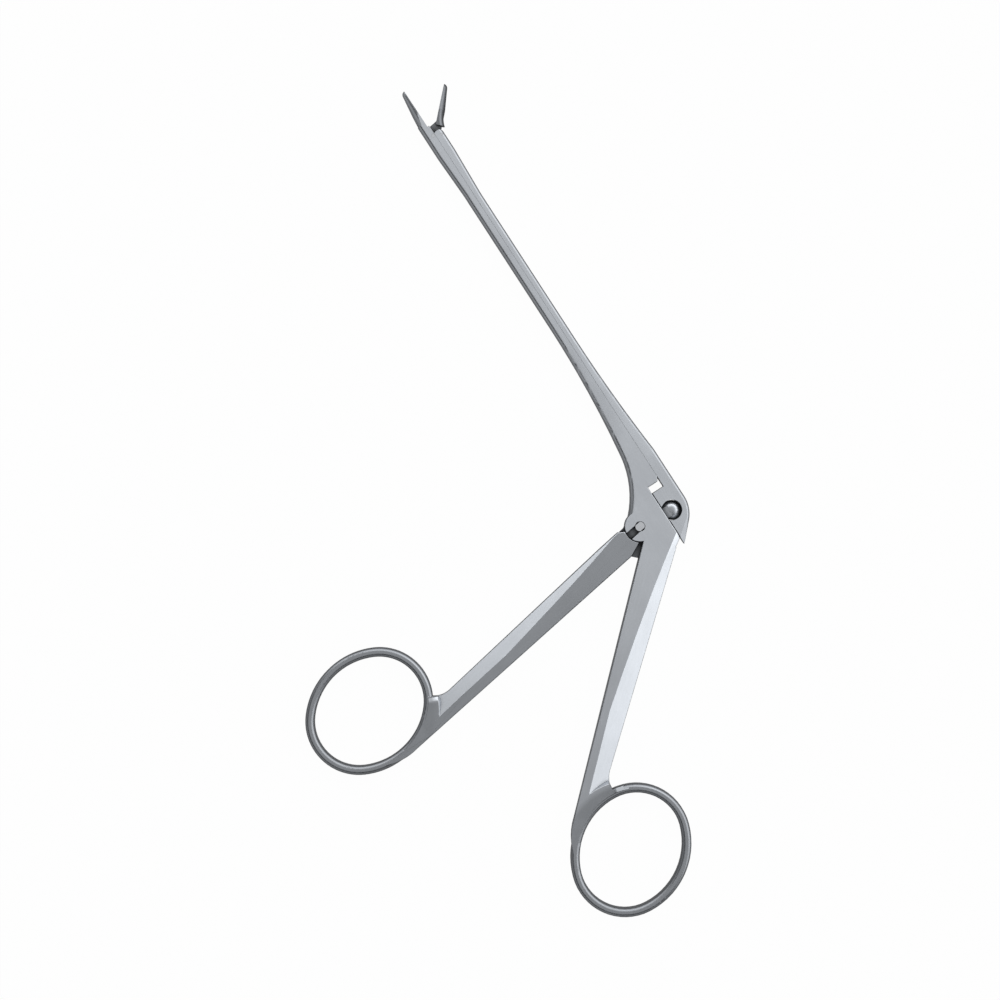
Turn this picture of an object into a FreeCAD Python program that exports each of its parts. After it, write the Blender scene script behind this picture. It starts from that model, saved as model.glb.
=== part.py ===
import FreeCAD, Part
import Sketcher
import math
import os

# Disc rongeur, lying on its side. The shaft runs along X with its jaws at -X, and the handles hang towards -Y.
# Every piece is symmetric about its own XY plane, which lies half the body's thickness above the ground.

SIZES = {
    # Place of the handle pivot, from the middle of the footprint
    "pivot_x": 22.25,
    "pivot_y": 42.72,
    # Body, shaft and sliding plane
    "thickness": 6.0,
    "pivot_drop": 11.2,
    "hinge_reach": 118.6,
    "hinge_drop": 0.55,
    "shaft_width": 3.8,
    "shaft_depth": 2.4,
    "shaft_root_depth": 2.85,
    "shaft_round": 1.2,
    "slide_gap": 0.05,
    "flare_start": 52.0,
    "flare_end": 14.0,
    "belly_start": 58.0,
    "belly_end": 18.8,
    "belly_depth": 5.1,
    "neck_radius": 25.9,
    "neck_foot_x": 3.9,
    "deck_drop": 3.7,
    "deck_rear": 8.3,
    "shoulder_x": 7.6,
    "window_width": 2.0,
    "relief_length": 1.2,
    "relief_depth": 0.6,
    "cheek_radius": 4.1,
    "slot_rear_radius": 9.0,
    # Guide rail of the sliding shaft
    "rail_neck_width": 1.1,
    "rail_neck_depth": 0.65,
    "rail_head_width": 2.0,
    "rail_head_depth": 0.6,
    "rail_front": 6.8,
    "rail_rear": 9.8,
    # Sliding shaft
    "slider_rise": 1.8,
    "nose_rise": 2.4,
    "nose_radius": 1.4,
    "tail_rise": 3.3,
    "rise_start": 52.0,
    "rise_end": 15.6,
    "knee_start": 0.4,
    "knee_radius": 8.8,
    "knee_x": 5.6,
    "knee_y": 0.95,
    "tail_x": 10.4,
    "tail_bevel_x": 2.75,
    "tail_lean": 38.03,
    "slider_round": 0.8,
    # Drive between the front handle and the sliding shaft
    "arm_height": 9.6,
    "half_travel": 0.9,
    "ball_radius": 2.68,
    "ball_rim": 0.9,
    "ball_crown": 0.08,
    "notch_gap": 0.1,
    "tongue_thickness": 3.0,
    "tongue_gap": 0.1,
    "neck_width": 3.0,
    "pin_radius": 1.3,
    "pin_flats": 2.1,
    "pin_gap": 0.06,
    "pin_recess": 0.05,
    "press_gap": 0.01,
    "keyhole_width": 2.2,
    "shoulder_radius": 4.3,
    # Handles, measured in frames whose -Y runs along each handle from the pivot
    "front_angle": 8.9,
    "front_inner": 4.5,
    "front_width_top": 7.25,
    "front_width_low": 6.0,
    "rear_angle": 43.0,
    "rear_inner": 1.8,
    "rear_width_top": 9.1,
    "rear_width_low": 6.35,
    "front_web_start": 20.5,
    "rear_web_start": 19.75,
    "front_web_angle": 34.0,
    "rear_web_angle": 44.0,
    "web_radius": 6.5,
    "blend_radius": 16.0,
    "facet_start": -8.0,
    "facet_end": 2.5,
    "front_facet_top": 9.5,
    "front_facet_high": 5.2,
    "front_facet_low": 2.45,
    "front_facet_foot": 1.5,
    "rear_facet_top": 9.3,
    "rear_facet_high": 4.95,
    "rear_facet_low": 2.1,
    "rear_facet_foot": 2.1,
    "bevel_slope": 18.0,
    "taper_start": 50.0,
    "taper_end": 80.0,
    # Finger rings
    "front_ring_offset": 16.15,
    "front_ring_reach": 87.55,
    "front_ring_half_length": 15.85,
    "front_ring_half_width": 13.3,
    "front_ring_tilt": 3.0,
    "rear_ring_offset": 17.02,
    "rear_ring_reach": 85.25,
    "rear_ring_half_length": 15.9,
    "rear_ring_half_width": 13.4,
    "rear_ring_tilt": 10.0,
    "ring_band": 2.5,
    "ring_thickness": 4.4,
    "ring_end_step": 1.35,
    "ring_round": 1.0,
    # Jaws
    "jaw_length": 14.5,
    "jaw_half_width": 1.85,
    "tip_radius": 1.2,
    "tip_run": 1.1,
    "tip_depth": 1.1,
    "lower_jaw_depth": 1.9,
    "upper_jaw_depth": 1.75,
    "jaw_open_angle": 44.5,
    "heel_distance": 3.15,
    "heel_height": 2.5,
    "heel_round": 1.3,
    "ear_front": 2.9,
    "rim_gap": 0.03,
    "cup_start": 5.3,
    "cup_end": 13.6,
    "cup_depth": 0.75,
    "cup_axis_rise": 0.6,
    "lobe_reach": 4.2,
    "jaw_tongue_thickness": 1.6,
    "jaw_tongue_radius": 2.55,
    "fork_gap": 0.1,
    "lug_radius": 0.85,
    "hub_radius": 1.1,
    "hinge_pin_radius": 0.5,
    "drive_pin_radius": 0.4,
    "jaw_pin_gap": 0.04,
}

X = FreeCAD.Vector(1, 0, 0)
Y = FreeCAD.Vector(0, 1, 0)
Z = FreeCAD.Vector(0, 0, 1)


class Size:
    """A length or angle: its number, and the sheet formula that gives it."""

    def __init__(self, number, formula):
        self.number = float(number)
        self.formula = formula

    def joined(self, sign, other, number):
        return Size(number, f"({self.formula} {sign} {other.formula})")

    def __add__(self, other):
        other = as_size(other)
        return self.joined("+", other, self.number + other.number)

    def __sub__(self, other):
        other = as_size(other)
        return self.joined("-", other, self.number - other.number)

    def __mul__(self, other):
        other = as_size(other)
        return self.joined("*", other, self.number * other.number)

    def __truediv__(self, other):
        other = as_size(other)
        return self.joined("/", other, self.number / other.number)

    def __neg__(self):
        return Size(-self.number, f"(0 - {self.formula})")

    __radd__ = __add__

    def __rsub__(self, other):
        return as_size(other) - self

    def __rtruediv__(self, other):
        return as_size(other) / self

    __rmul__ = __mul__


def as_size(value):
    return value if isinstance(value, Size) else Size(value, f"{value:.6g}")


def cosine(angle):
    return Size(math.cos(math.radians(angle.number)), f"cos({angle.formula})")


def sine(angle):
    return Size(math.sin(math.radians(angle.number)), f"sin({angle.formula})")


def tangent(angle):
    return Size(math.tan(math.radians(angle.number)), f"tan({angle.formula})")


def root(value):
    return Size(math.sqrt(value.number), f"sqrt({value.formula})")


def turned(x, y, angle):
    """The point (x, y) turned about the origin."""
    x, y = as_size(x), as_size(y)
    return x * cosine(angle) - y * sine(angle), x * sine(angle) + y * cosine(angle)


def polar(radius, angle):
    """The point at a distance and an angle from the origin."""
    return radius * cosine(angle), radius * sine(angle)


def moved(point, x, y):
    return point[0] + x, point[1] + y


document = FreeCAD.newDocument("disc_rongeur")
sheet = document.addObject("Spreadsheet::Sheet", "sizes")
for row, (word, number) in enumerate(SIZES.items(), 1):
    sheet.set(f"A{row}", word)
    sheet.set(f"B{row}", str(number))
    sheet.setAlias(f"B{row}", word)
document.recompute()


class Sizes:
    """The sheet's cells by their names."""

    def __getattr__(self, word):
        return Size(SIZES[word], f"sizes.{word}")


size = Sizes()
half_thickness = size.thickness / 2
hinge_x = -size.hinge_reach
hinge_y = -size.hinge_drop
pivot = (as_size(0), -size.pivot_drop)
ball_rest = (size.half_travel, size.arm_height - size.pivot_drop)
drive_height = size.half_travel / tangent(size.jaw_open_angle / 2)
notch_radius = size.ball_radius + size.notch_gap


def bind(feature, name, value):
    """Set a property and tie it to the sheet."""
    setattr(feature, name, value.number)
    feature.setExpression(name, value.formula)


def new_body(name, x, y, turn=None):
    """A body placed in the part's frame, turned about Z."""
    body = document.addObject("PartDesign::Body", name)
    body.Label = name
    turn = as_size(0) if turn is None else turn
    base = FreeCAD.Vector(x.number, y.number, half_thickness.number)
    body.Placement = FreeCAD.Placement(base, FreeCAD.Rotation(Z, turn.number))
    body.setExpression("Placement.Base.x", x.formula)
    body.setExpression("Placement.Base.y", y.formula)
    body.setExpression("Placement.Base.z", half_thickness.formula)
    body.setExpression("Placement.Rotation.Angle", turn.formula)
    return body


def new_sketch(body, name, plane="XY", at=(0, 0, 0), turn=None):
    """A sketch on one of the body's planes, with its origin at a point and turned about the body's Z."""
    x, y, z = (as_size(value) for value in at)
    turn = as_size(0) if turn is None else turn
    base, axis = {
        "XY": ((x, y, z), Z),
        "XZ": ((x, z, -y), Y),
        "YZ": ((y, z, x), Y),
    }[plane]
    sketch = body.newObject("Sketcher::SketchObject", name)
    origin_plane = [part for part in body.Origin.OriginFeatures if part.Role == plane + "_Plane"][0]
    sketch.AttachmentSupport = [(origin_plane, "")]
    sketch.MapMode = "FlatFace"
    spot = FreeCAD.Vector(*(value.number for value in base))
    sketch.AttachmentOffset = FreeCAD.Placement(spot, FreeCAD.Rotation(axis, turn.number))
    for letter, value in zip("xyz", base):
        sketch.setExpression(f"AttachmentOffset.Base.{letter}", value.formula)
    if turn.number:
        sketch.setExpression("AttachmentOffset.Rotation.Angle", turn.formula)
    return sketch


def hold(sketch, constraint, name, formula):
    """Add a constraint and tie its value to the sheet."""
    number = sketch.addConstraint(constraint)
    sketch.renameConstraint(number, name)
    sketch.setExpression(f"Constraints.{name}", formula)


def outline(sketch, corners, arcs=None):
    """Draw a closed outline. arcs gives the radius of a side: positive turns left, negative turns right."""
    arcs = arcs or {}
    corners = [(as_size(x), as_size(y)) for x, y in corners]
    starts = []
    ends = []
    for side, (x, y) in enumerate(corners):
        following = corners[(side + 1) % len(corners)]
        first = FreeCAD.Vector(x.number, y.number, 0)
        last = FreeCAD.Vector(following[0].number, following[1].number, 0)
        radius = arcs.get(side)
        if radius is None:
            sketch.addGeometry(Part.LineSegment(first, last), False)
            starts.append((side, 1))
            ends.append((side, 2))
            continue
        left = radius.number > 0
        chord = last - first
        reach = math.sqrt(radius.number**2 - chord.Length**2 / 4)
        across = FreeCAD.Vector(-chord.y, chord.x, 0).normalize()
        centre = (first + last) * 0.5 + across * (reach if left else -reach)
        begin, finish = (first, last) if left else (last, first)
        angles = [math.atan2(point.y - centre.y, point.x - centre.x) for point in (begin, finish)]
        circle = Part.Circle(centre, Z, abs(radius.number))
        sketch.addGeometry(Part.ArcOfCircle(circle, angles[0], angles[1]), False)
        starts.append((side, 1 if left else 2))
        ends.append((side, 2 if left else 1))
    for side, (x, y) in enumerate(corners):
        following = starts[(side + 1) % len(corners)]
        sketch.addConstraint(Sketcher.Constraint("Coincident", *ends[side], *following))
        place = Sketcher.Constraint("DistanceX", -1, 1, *starts[side], x.number)
        hold(sketch, place, f"across_{side}", x.formula)
        place = Sketcher.Constraint("DistanceY", -1, 1, *starts[side], y.number)
        hold(sketch, place, f"along_{side}", y.formula)
        if side in arcs:
            radius = arcs[side] if arcs[side].number > 0 else -arcs[side]
            bend = Sketcher.Constraint("Radius", side, radius.number)
            hold(sketch, bend, f"radius_{side}", radius.formula)
    return sketch


def circle(sketch, x, y, radius):
    """Draw a circle."""
    x, y, radius = as_size(x), as_size(y), as_size(radius)
    centre = FreeCAD.Vector(x.number, y.number, 0)
    sketch.addGeometry(Part.Circle(centre, Z, radius.number), False)
    hold(sketch, Sketcher.Constraint("Radius", 0, radius.number), "radius", radius.formula)
    hold(sketch, Sketcher.Constraint("DistanceX", -1, 1, 0, 3, x.number), "across", x.formula)
    hold(sketch, Sketcher.Constraint("DistanceY", -1, 1, 0, 3, y.number), "along", y.formula)
    return sketch


def oval(sketch, half_across, half_up, end_radius):
    """Draw an oval of arcs that meet smoothly. It starts at its upper end."""
    rise = half_up - end_radius
    side_radius = rise * rise + half_across * half_across - end_radius * end_radius
    side_radius = side_radius / ((half_across - end_radius) * 2)
    share = side_radius / (side_radius - end_radius)
    meet_x = (side_radius - half_across) * share - side_radius + half_across
    meet_y = rise * share
    corners = [
        (0, half_up),
        (-meet_x, meet_y),
        (-meet_x, -meet_y),
        (meet_x, -meet_y),
        (meet_x, meet_y),
    ]
    arcs = {0: end_radius, 1: side_radius, 2: end_radius, 3: side_radius, 4: end_radius}
    return outline(sketch, corners, arcs)


def round_cornered(sketch, centre_x, half_across, half_up, radius):
    """Draw a rectangle with round corners."""
    left = centre_x - half_across
    right = centre_x + half_across
    corners = [
        (left + radius, half_up),
        (left, half_up - radius),
        (left, radius - half_up),
        (left + radius, -half_up),
        (right - radius, -half_up),
        (right, radius - half_up),
        (right, half_up - radius),
        (right - radius, half_up),
    ]
    return outline(sketch, corners, {0: radius, 2: radius, 4: radius, 6: radius})


def prism(body, kind, sketch, length):
    """Pad or cut a sketch by a length, half of it to each side."""
    feature = body.newObject("PartDesign::" + kind, sketch.Name + "_" + kind.lower())
    feature.Profile = sketch
    feature.SideType = "Symmetric"
    bind(feature, "Length", as_size(length))
    sketch.Visibility = False
    document.recompute()
    return feature


def revolved(body, kind, sketch, axis, angle=360):
    """Turn a sketch about one of its own axes, half of the angle to each side."""
    feature = body.newObject("PartDesign::" + kind, sketch.Name + "_" + kind.lower())
    feature.Profile = sketch
    feature.ReferenceAxis = (sketch, [axis])
    feature.Midplane = True
    feature.Angle = angle
    document.recompute()
    return feature


def edges_where(body, test):
    """Names of the body's edges that pass a test."""
    return [f"Edge{number}" for number, edge in enumerate(body.Tip.Shape.Edges, 1) if test(edge)]


def rounded(body, name, test, radius):
    """Round the edges that pass a test."""
    names = edges_where(body, test)
    before = body.Tip
    feature = body.newObject("PartDesign::Fillet", name)
    feature.Base = (before, names)
    bind(feature, "Radius", radius)
    document.recompute()
    return feature


def tangent_radius(run, rise):
    """Radius of an arc that starts along a run and ends a rise beside it."""
    return (run * run + rise * rise) / (rise * 2)


def bow_radius(half_chord, height):
    """Radius of an arc with a half chord and a height."""
    return (half_chord * half_chord + height * height) / (height * 2)


def flare(body, name, tip):
    """Cut both faces of a shaft down to its width, opening in a long curve to the body's thickness."""
    narrow = size.shaft_width / 2
    step = half_thickness - narrow
    curve = tangent_radius(size.flare_start - size.flare_end, step)
    outside = half_thickness + 1
    for side, sign in (("upper", 1), ("lower", -1)):
        sketch = new_sketch(body, f"{name}_{side}_flare", "XZ")
        corners = [
            (tip, narrow * sign),
            (-size.flare_start, narrow * sign),
            (-size.flare_end, half_thickness * sign),
            (-size.flare_end, outside * sign),
            (tip, outside * sign),
        ]
        outline(sketch, corners, {1: curve * sign})
        prism(body, "Pocket", sketch, 60)


class Handle:
    """The sizes of one handle by their short names. Its outer edge lies on the given side."""

    def __init__(self, name, side):
        self.name = name
        self.side = side

    def __getattr__(self, word):
        return getattr(size, f"{self.name}_{word}")


def handle_outline(handle, top):
    """Corners of a handle's bar, from its top down to the inside of its ring's band and back."""
    middle = size.ring_band / 2
    reach = handle.ring_reach
    tilt = handle.ring_tilt
    inner = handle.inner
    corners = [(inner, top), (inner, 3 - reach)]
    for angle in (as_size(118), as_size(90), as_size(62), handle.web_angle):
        across = -(handle.ring_half_width + middle) * sine(angle)
        up = (handle.ring_half_length + middle) * cosine(angle)
        x = handle.ring_offset + across * cosine(tilt) + up * sine(tilt)
        y = up * cosine(tilt) - across * sine(tilt) - reach
        corners.append((inner + x * handle.side, y))
    corners.append((inner + handle.width_low * handle.side, handle.web_start - reach))
    corners.append((inner + handle.width_top * handle.side, top))
    return corners


def handle_bar(body, handle, at, turn, top):
    """A handle's bar with its tapered end, its bevelled outer edge and its finger ring."""
    name = handle.name
    side = handle.side
    inner = handle.inner
    reach = handle.ring_reach
    sketch = new_sketch(body, name + "_bar", "XY", (at[0], at[1], 0), turn)
    corners = handle_outline(handle, top)
    outline(sketch, corners, {1: size.blend_radius * side, 5: size.web_radius * -side})
    prism(body, "Pad", sketch, size.thickness)

    # Both faces fall to the ring's thickness
    low_half = size.ring_thickness / 2
    for face, sign in (("upper", 1), ("lower", -1)):
        sketch = new_sketch(body, f"{name}_{face}_taper", "YZ", (at[0], at[1], 0), turn)
        corners = [
            (-size.taper_start, half_thickness * sign),
            (-size.taper_end, low_half * sign),
            (-size.taper_end - 40, low_half * sign),
            (-size.taper_end - 40, (half_thickness + 1) * sign),
            (-size.taper_start, (half_thickness + 1) * sign),
        ]
        outline(sketch, corners)
        prism(body, "Pocket", sketch, 90)

    # The outer edge is ground away along a curved line on each face
    slope = tangent(size.bevel_slope)
    facets = [handle.facet_top, handle.facet_high, handle.facet_low, handle.facet_foot]
    spacing = (reach - size.facet_end - size.facet_start) / (len(facets) - 1)
    reach_out = as_size(14)
    lift = as_size(1)
    for face, sign in (("upper", 1), ("lower", -1)):
        sections = []
        for number, facet in enumerate(facets):
            along = size.facet_start + spacing * number
            face_half = low_half if number == len(facets) - 1 else half_thickness
            spot = turned(0, -along, turn) if turn else (as_size(0), -along)
            origin = (at[0] + spot[0], at[1] + spot[1], 0)
            sketch = new_sketch(body, f"{name}_{face}_bevel_{number}", "XZ", origin, turn)
            corners = [
                (inner + (facet - lift / slope) * side, (face_half + lift) * sign),
                (inner + reach_out * side, (face_half - (reach_out - facet) * slope) * sign),
                (inner + reach_out * side, (face_half + lift) * sign),
            ]
            outline(sketch, corners)
            sections.append(sketch)
        document.recompute()
        loft = body.newObject("PartDesign::SubtractiveLoft", f"{name}_{face}_bevel")
        loft.Profile = sections[0]
        loft.Sections = [(sketch, [""]) for sketch in sections[1:]]
        document.recompute()

    # Finger ring
    centre = (inner + handle.ring_offset * side, -reach)
    if turn:
        centre = turned(centre[0], centre[1], turn)
    centre = moved(centre, at[0], at[1])
    lean = -handle.ring_tilt * side + (turn if turn else 0)
    middle = size.ring_band / 2
    half_width = handle.ring_half_width + middle
    half_length = handle.ring_half_length + middle
    path = new_sketch(body, name + "_ring_path", "XY", (centre[0], centre[1], 0), lean)
    oval(path, half_width, half_length, half_width - size.ring_end_step)
    section = new_sketch(body, name + "_ring_section", "YZ", (centre[0], centre[1], 0), lean)
    round_cornered(section, half_length, middle, low_half, size.ring_round)
    document.recompute()
    ring_pipe = body.newObject("PartDesign::AdditivePipe", name + "_ring")
    ring_pipe.Profile = section
    ring_pipe.Spine = (path, [f"Edge{number}" for number in range(1, path.GeometryCount + 1)])
    document.recompute()
    return ring_pipe


def jaw_form(body, name, x, y, root_x, depths):
    """Half-round form of a jaw, turned about its rim. depths are those at the root and the middle."""
    corners = [
        (-root_x, 0),
        (-size.jaw_length, 0),
        (size.tip_run - size.jaw_length, size.tip_depth),
        (-size.jaw_length / 2, depths[1]),
        (-root_x, depths[0]),
    ]
    sketch = outline(new_sketch(body, name, "XY", (x, y, 0)), corners, {1: -size.tip_radius})
    revolved(body, "Revolution", sketch, "H_Axis")


front = Handle("front", -1)
rear = Handle("rear", 1)


# Fixed half: lower shaft, lower jaw, cheeks and rear handle in one piece
def fixed_half():
    body = new_body("fixed_half", size.pivot_x, size.pivot_y + size.pivot_drop)
    rim = hinge_y
    neck_foot = (-size.neck_foot_x, -size.pivot_drop - root(
        size.cheek_radius * size.cheek_radius - size.neck_foot_x * size.neck_foot_x))
    crotch_y = -root(size.cheek_radius * size.cheek_radius - size.rear_inner * size.rear_inner)
    crotch = moved(turned(size.rear_inner, crotch_y, size.rear_angle), *pivot)
    rear_top = turned(size.rear_inner + size.rear_width_top, as_size(-2), size.rear_angle)
    rear_foot = turned(size.rear_inner + size.rear_width_top - 3, as_size(-16), size.rear_angle)
    corners = [
        (hinge_x - size.ear_front, 0),
        (hinge_x - size.ear_front, rim),
        (hinge_x - size.ear_front - 1.2, rim),
        (hinge_x - size.ear_front - 1.2, -size.shaft_root_depth),
        (hinge_x + 6, -size.shaft_root_depth),
        (hinge_x + 18, -size.shaft_depth),
        (-size.belly_start, -size.shaft_depth),
        (-size.belly_end, -size.belly_depth),
        neck_foot,
        crotch,
        moved(rear_foot, *pivot),
        moved(rear_top, *pivot),
        (size.deck_rear, -size.deck_drop),
        (-size.shoulder_x, -size.deck_drop),
        (-size.shoulder_x, -size.relief_depth),
        (-size.shoulder_x - size.relief_length, 0),
    ]
    belly = tangent_radius(size.belly_start - size.belly_end, size.belly_depth - size.shaft_depth)
    arcs = {6: -belly, 7: -size.neck_radius, 8: size.cheek_radius}
    sketch = outline(new_sketch(body, "body_side"), corners, arcs)
    prism(body, "Pad", sketch, size.thickness)
    flare(body, "shaft", hinge_x - 10)
    rounded(body, "shaft_rounding", is_shaft_underside, size.shaft_round)

    handle_bar(body, rear, pivot, size.rear_angle, -3)

    # Lower jaw, cut open at the rim and flush with the shaft's sides
    depths = (size.shaft_root_depth - size.hinge_drop, size.lower_jaw_depth)
    jaw_form(body, "lower_jaw_form", hinge_x, rim, size.ear_front + 0.2, depths)
    sketch = new_sketch(body, "rim_cut", "XY", (hinge_x, rim, 0))
    far = size.jaw_length + 2
    outline(sketch, [(-size.ear_front, 0), (-size.ear_front, 3), (-far, 3), (-far, 0)])
    prism(body, "Pocket", sketch, size.thickness)
    narrow = size.shaft_width / 2
    for face, sign in (("upper", 1), ("lower", -1)):
        sketch = new_sketch(body, f"jaw_{face}_side", "XZ", (hinge_x, 0, 0))
        outline(sketch, [
            (-size.ear_front, narrow * sign),
            (-far, narrow * sign),
            (-far, half_thickness * sign),
            (-size.ear_front, half_thickness * sign),
        ])
        prism(body, "Pocket", sketch, 20)
    cut_cup(body, "lower_cup", hinge_x, rim, -1)
    cut_guide_slot(body)
    cut_jaw_slot(body)
    cut_tongue_slot(body)
    cut_keyhole(body)
    return body


def is_shaft_underside(edge):
    box = edge.BoundBox
    on_face = box.ZMin > 1 or box.ZMax < -1
    low = box.YMax < -SIZES["shaft_depth"] + 0.01 and box.YMin > -SIZES["belly_depth"] * 3
    return on_face and low and box.XLength > 3 and box.XMax < -SIZES["flare_end"] + 0.01


def cut_cup(body, name, x, rim, side):
    """Hollow a jaw with an oval cup that opens at its rim."""
    bow = bow_radius((size.cup_end - size.cup_start) / 2, size.cup_depth)
    middle = -(size.cup_start + size.cup_end) / 2
    edge = size.cup_axis_rise
    sketch = new_sketch(body, name, "XY", (x, rim - edge * side, 0))
    corners = [
        (-size.cup_end, 0),
        (-size.cup_end, edge * side),
        (middle, (edge + size.cup_depth) * side),
        (-size.cup_start, edge * side),
        (-size.cup_start, 0),
    ]
    outline(sketch, corners, {1: bow * -side, 2: bow * -side})
    revolved(body, "Groove", sketch, "H_Axis")


def cut_guide_slot(body):
    """T slot along the sliding plane, open at the shoulder."""
    neck = size.rail_neck_width / 2 + size.slide_gap
    head = size.rail_head_width / 2 + size.slide_gap
    lip = -size.rail_neck_depth + size.slide_gap
    floor = -size.rail_neck_depth - size.rail_head_depth - size.slide_gap
    start = hinge_x + size.rail_front - size.half_travel * 2 - 0.4
    sketch = new_sketch(body, "guide_slot", "YZ", (start, 0, 0))
    corners = [
        (1, neck), (lip, neck), (lip, head), (floor, head),
        (floor, -head), (lip, -head), (lip, -neck), (1, -neck),
    ]
    outline(sketch, corners)
    pocket = body.newObject("PartDesign::Pocket", "guide_slot_cut")
    pocket.Profile = sketch
    pocket.Reversed = True
    bind(pocket, "Length", -start - size.shoulder_x + 0.5)
    document.recompute()


def cut_jaw_slot(body):
    """Slot between the ears for the upper jaw's tongue, and the bore of its hinge pin."""
    foot = polar(size.jaw_tongue_radius + 0.15, size.jaw_open_angle + 180.5)
    start = -size.lobe_reach - 0.25
    end = size.half_travel + size.lug_radius + 0.5
    sketch = new_sketch(body, "jaw_slot", "XY", (hinge_x, hinge_y, 0))
    corners = [
        (start, 2),
        (start, 0),
        foot,
        (0.2, -size.hub_radius - 0.2),
        (end, -size.hub_radius - 0.2),
        (end, 2),
    ]
    outline(sketch, corners)
    prism(body, "Pocket", sketch, size.jaw_tongue_thickness + size.fork_gap * 2)
    bore = circle(new_sketch(body, "hinge_bore"), hinge_x, hinge_y, size.hinge_pin_radius + size.press_gap)
    prism(body, "Pocket", bore, size.thickness)


def cut_tongue_slot(body):
    """Slot between the cheeks for the front handle's tongue, open at the top, the front and the foot."""
    radius = size.slot_rear_radius
    low = polar(radius, as_size(-46))
    high = polar(radius, as_size(-9))
    top = size.pivot_drop - size.deck_drop + 1
    half_opening = size.half_travel + notch_radius + 0.2
    sketch = new_sketch(body, "tongue_slot", "XY", (pivot[0], pivot[1], 0))
    corners = [
        (-half_opening, top),
        (-size.cheek_radius - 0.3, 3.2),
        (-14, 0.6),
        (-14, -8),
        (2, -8),
        low,
        high,
        (6, 3),
        (half_opening, top),
    ]
    outline(sketch, corners, {5: radius})
    prism(body, "Pocket", sketch, size.tongue_thickness + size.tongue_gap * 2)


def cut_keyhole(body):
    """Seat of the handle pin in both cheeks, open towards the front handle."""
    seat = size.pin_radius + size.pin_gap
    bore = circle(new_sketch(body, "pivot_seat"), pivot[0], pivot[1], seat)
    prism(body, "Pocket", bore, size.thickness + 1)
    half = size.keyhole_width / 2
    foot = -size.cheek_radius - 1
    sketch = new_sketch(body, "pivot_mouth", "XY", (pivot[0], pivot[1], 0), size.front_angle)
    outline(sketch, [(-half, 0), (-half, foot), (half, foot), (half, 0)])
    prism(body, "Pocket", sketch, size.thickness + 1)


# Sliding shaft: nose fork, guide rail, stepped tail with the ball notch
def sliding_shaft():
    body = new_body("sliding_shaft", size.pivot_x, size.pivot_y + size.pivot_drop)
    under = size.slide_gap
    step_x = size.window_width - size.shoulder_x
    deck = -size.deck_drop + size.slide_gap
    corners = [
        (hinge_x - 0.3, under),
        (step_x, under),
        (step_x, deck),
        (size.tail_x, deck),
        (size.knee_x, size.knee_y),
        (-size.knee_start, size.tail_rise),
        (-size.rise_end, size.tail_rise),
        (-size.rise_start, size.slider_rise),
        (hinge_x + 20, size.slider_rise),
        (hinge_x + 6, size.nose_rise),
        (hinge_x + 0.3, size.nose_rise),
    ]
    rise = tangent_radius(size.rise_start - size.rise_end, size.tail_rise - size.slider_rise)
    arcs = {4: size.knee_radius, 6: -rise, 10: size.nose_radius}
    sketch = outline(new_sketch(body, "slider_side"), corners, arcs)
    prism(body, "Pad", sketch, size.thickness)
    flare(body, "slider", hinge_x - 10)
    rounded(body, "slider_rounding", is_slider_top, size.slider_round)

    # Bevel on the back of the tail, on both faces
    sketch = new_sketch(body, "tail_bevel", "XZ", (size.tail_bevel_x, size.tail_rise, 0), size.tail_lean)
    slope = tangent(size.bevel_slope)
    far = as_size(8)
    outline(sketch, [
        (-1 / slope, half_thickness + 1),
        (far, half_thickness - slope * far),
        (far, half_thickness + 1),
    ])
    cut = prism(body, "Pocket", sketch, 30)
    mirror_plane = [part for part in body.Origin.OriginFeatures if part.Role == "XY_Plane"][0]
    mirror = body.newObject("PartDesign::Mirrored", "tail_bevel_mirror")
    mirror.Originals = [cut]
    mirror.MirrorPlane = (mirror_plane, [""])
    body.Tip = mirror
    document.recompute()

    # Round notch for the ball
    notch = circle(new_sketch(body, "ball_notch"), ball_rest[0], ball_rest[1], notch_radius)
    prism(body, "Pocket", notch, size.thickness + 1)

    # Guide rail
    neck = size.rail_neck_width / 2
    head = size.rail_head_width / 2
    lip = -size.rail_neck_depth
    floor = lip - size.rail_head_depth
    start = hinge_x + size.rail_front
    sketch = new_sketch(body, "guide_rail", "YZ", (start, 0, 0))
    top = size.slide_gap + 0.4
    corners = [
        (top, neck), (lip, neck), (lip, head), (floor, head),
        (floor, -head), (lip, -head), (lip, -neck), (top, -neck),
    ]
    outline(sketch, corners)
    pad = body.newObject("PartDesign::Pad", "guide_rail_pad")
    pad.Profile = sketch
    bind(pad, "Length", -start - size.rail_rear)
    document.recompute()

    # Fork around the upper jaw's lug, and the bore of the drive pin
    end = size.half_travel * 2 + size.hub_radius + 0.2
    sketch = new_sketch(body, "nose_fork", "XY", (hinge_x, 0, 0))
    outline(sketch, [(-4, -1), (end, -1), (end, 4), (-4, 4)])
    prism(body, "Pocket", sketch, size.jaw_tongue_thickness + size.fork_gap * 2)
    spot = (hinge_x + size.half_travel, hinge_y + drive_height)
    bore = circle(new_sketch(body, "drive_bore"), spot[0], spot[1], size.drive_pin_radius + size.press_gap)
    prism(body, "Pocket", bore, size.thickness)
    return body


def is_slider_top(edge):
    box = edge.BoundBox
    on_face = box.ZMin > 1 or box.ZMax < -1
    high = box.YMin > SIZES["slider_rise"] - 0.01
    return on_face and high and box.XLength > 3 and box.XMax < -SIZES["flare_end"] + 0.01


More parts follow.
